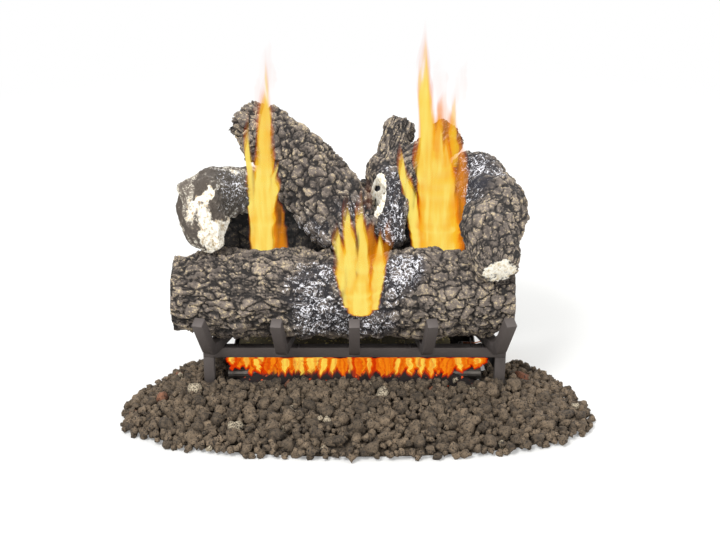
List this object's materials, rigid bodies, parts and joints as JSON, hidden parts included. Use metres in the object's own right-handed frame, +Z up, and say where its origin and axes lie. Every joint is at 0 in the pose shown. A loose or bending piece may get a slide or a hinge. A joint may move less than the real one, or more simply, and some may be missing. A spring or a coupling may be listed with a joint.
{
  "type": "gas log set",
  "caption": "Vented gas log set: cast refractory logs on a welded steel grate over a dual burner with a manual pilot valve, in a bed of lava rock.",
  "frame": {"origin": "on the floor, under the middle of the whole set's box", "axes": "+Z up, +X along the logs to the viewer's right, -Y towards the viewer"},
  "size_m": [0.828, 0.5548, 0.4679],
  "materials": {
    "dark_bark": "cast refractory concrete, painted charred bark with tan high spots and white ash",
    "rear_bark": "cast refractory concrete, painted near-black bark",
    "split_bark": "cast refractory concrete, painted bark with a pale split face",
    "grate_steel": "hot-rolled square bar, matt high-temperature black paint, dusty",
    "burner_steel": "galvanised sheet and steel tube, heat-dulled",
    "ember_granules": "loose olive and tan ember granules",
    "glowing_embers": "loose ember granules, heated orange",
    "brass": "machined brass",
    "copper": "drawn copper",
    "knob_plastic": "black moulded phenolic",
    "lava_rock": "crushed lava rock, 14 to 28 mm, dusty brown"
  },
  "bodies": {
    "burner": {"burner_pan": "burner_steel", "rear_burner_tube": "burner_steel", "rear_tube_cap": "burner_steel", "front_burner_tube": "burner_steel", "front_tube_left_cap": "burner_steel", "front_tube_right_cap": "burner_steel", "cross_tube": "burner_steel", "left_tube_saddle": "burner_steel", "right_tube_saddle": "burner_steel", "left_saddle_screw": "burner_steel", "right_saddle_screw": "burner_steel", "valve_plate": "burner_steel", "valve_plate_front_screw": "burner_steel", "valve_plate_rear_screw": "burner_steel", "pilot_bracket_screw": "burner_steel", "pilot_bracket": "burner_steel", "pilot_hood": "burner_steel", "pilot_tube": "burner_steel", "rear_ember_bed": "ember_granules", "front_ember_bed": "glowing_embers", "valve_body": "brass", "orifice_fitting": "brass", "gas_inlet_fitting": "brass", "thermocouple_probe": "copper", "thermocouple_lead": "copper", "lava_rock_bed": "lava_rock"},
    "grate": {"front_rail": "grate_steel", "rear_rail": "grate_steel", "front_left_leg": "grate_steel", "front_right_leg": "grate_steel", "rear_left_leg": "grate_steel", "rear_right_leg": "grate_steel", "grate_bar_1": "grate_steel", "grate_bar_2": "grate_steel", "grate_bar_3": "grate_steel", "grate_bar_4": "grate_steel", "grate_bar_5": "grate_steel"},
    "front_log": {"front_log": "dark_bark"},
    "rear_log": {"rear_log": "rear_bark"},
    "birch_log": {"birch_log": "split_bark"},
    "big_log": {"big_log": "dark_bark"},
    "fork_log": {"fork_log": "dark_bark"},
    "crook_log": {"crook_log": "dark_bark"},
    "push_sleeve": {"push_sleeve": "brass"},
    "control_knob": {"control_knob": "knob_plastic", "valve_stem": "brass"}
  },
  "joints": [
    {"name": "grate_lift", "type": "slide", "parent": "burner", "child": "grate", "axis": [0, 0, 1], "range_m": [0, 0.12]},
    {"name": "front_log_lift", "type": "slide", "parent": "grate", "child": "front_log", "axis": [0, 0, 1], "range_m": [0, 0.1]},
    {"name": "rear_log_lift", "type": "slide", "parent": "grate", "child": "rear_log", "axis": [0, 0, 1], "range_m": [0, 0.1]},
    {"name": "birch_log_lift", "type": "slide", "parent": "front_log", "child": "birch_log", "axis": [0, 0, 1], "range_m": [0, 0.15]},
    {"name": "big_log_lift", "type": "slide", "parent": "front_log", "child": "big_log", "axis": [0, 0, 1], "range_m": [0, 0.15]},
    {"name": "fork_log_lift", "type": "slide", "parent": "front_log", "child": "fork_log", "axis": [0, 0, 1], "range_m": [0, 0.15]},
    {"name": "crook_log_lift", "type": "slide", "parent": "front_log", "child": "crook_log", "axis": [0, 0, 1], "range_m": [0, 0.15]},
    {"name": "knob_push", "type": "slide", "parent": "burner", "child": "push_sleeve", "axis": [0, 1, 0], "range_m": [0, 0.004], "stiffness_N_per_m": 600, "springref_m": -0.003},
    {"name": "knob_turn", "type": "hinge", "parent": "push_sleeve", "child": "control_knob", "pos_m": [0.2556, 0.04, 0.028], "axis": [0, -1, 0], "range_deg": [0, 180]}
  ],
  "couplings": [
    {"joint": "rear_log_lift", "follows": "front_log_lift", "ratio": 1}
  ]
}
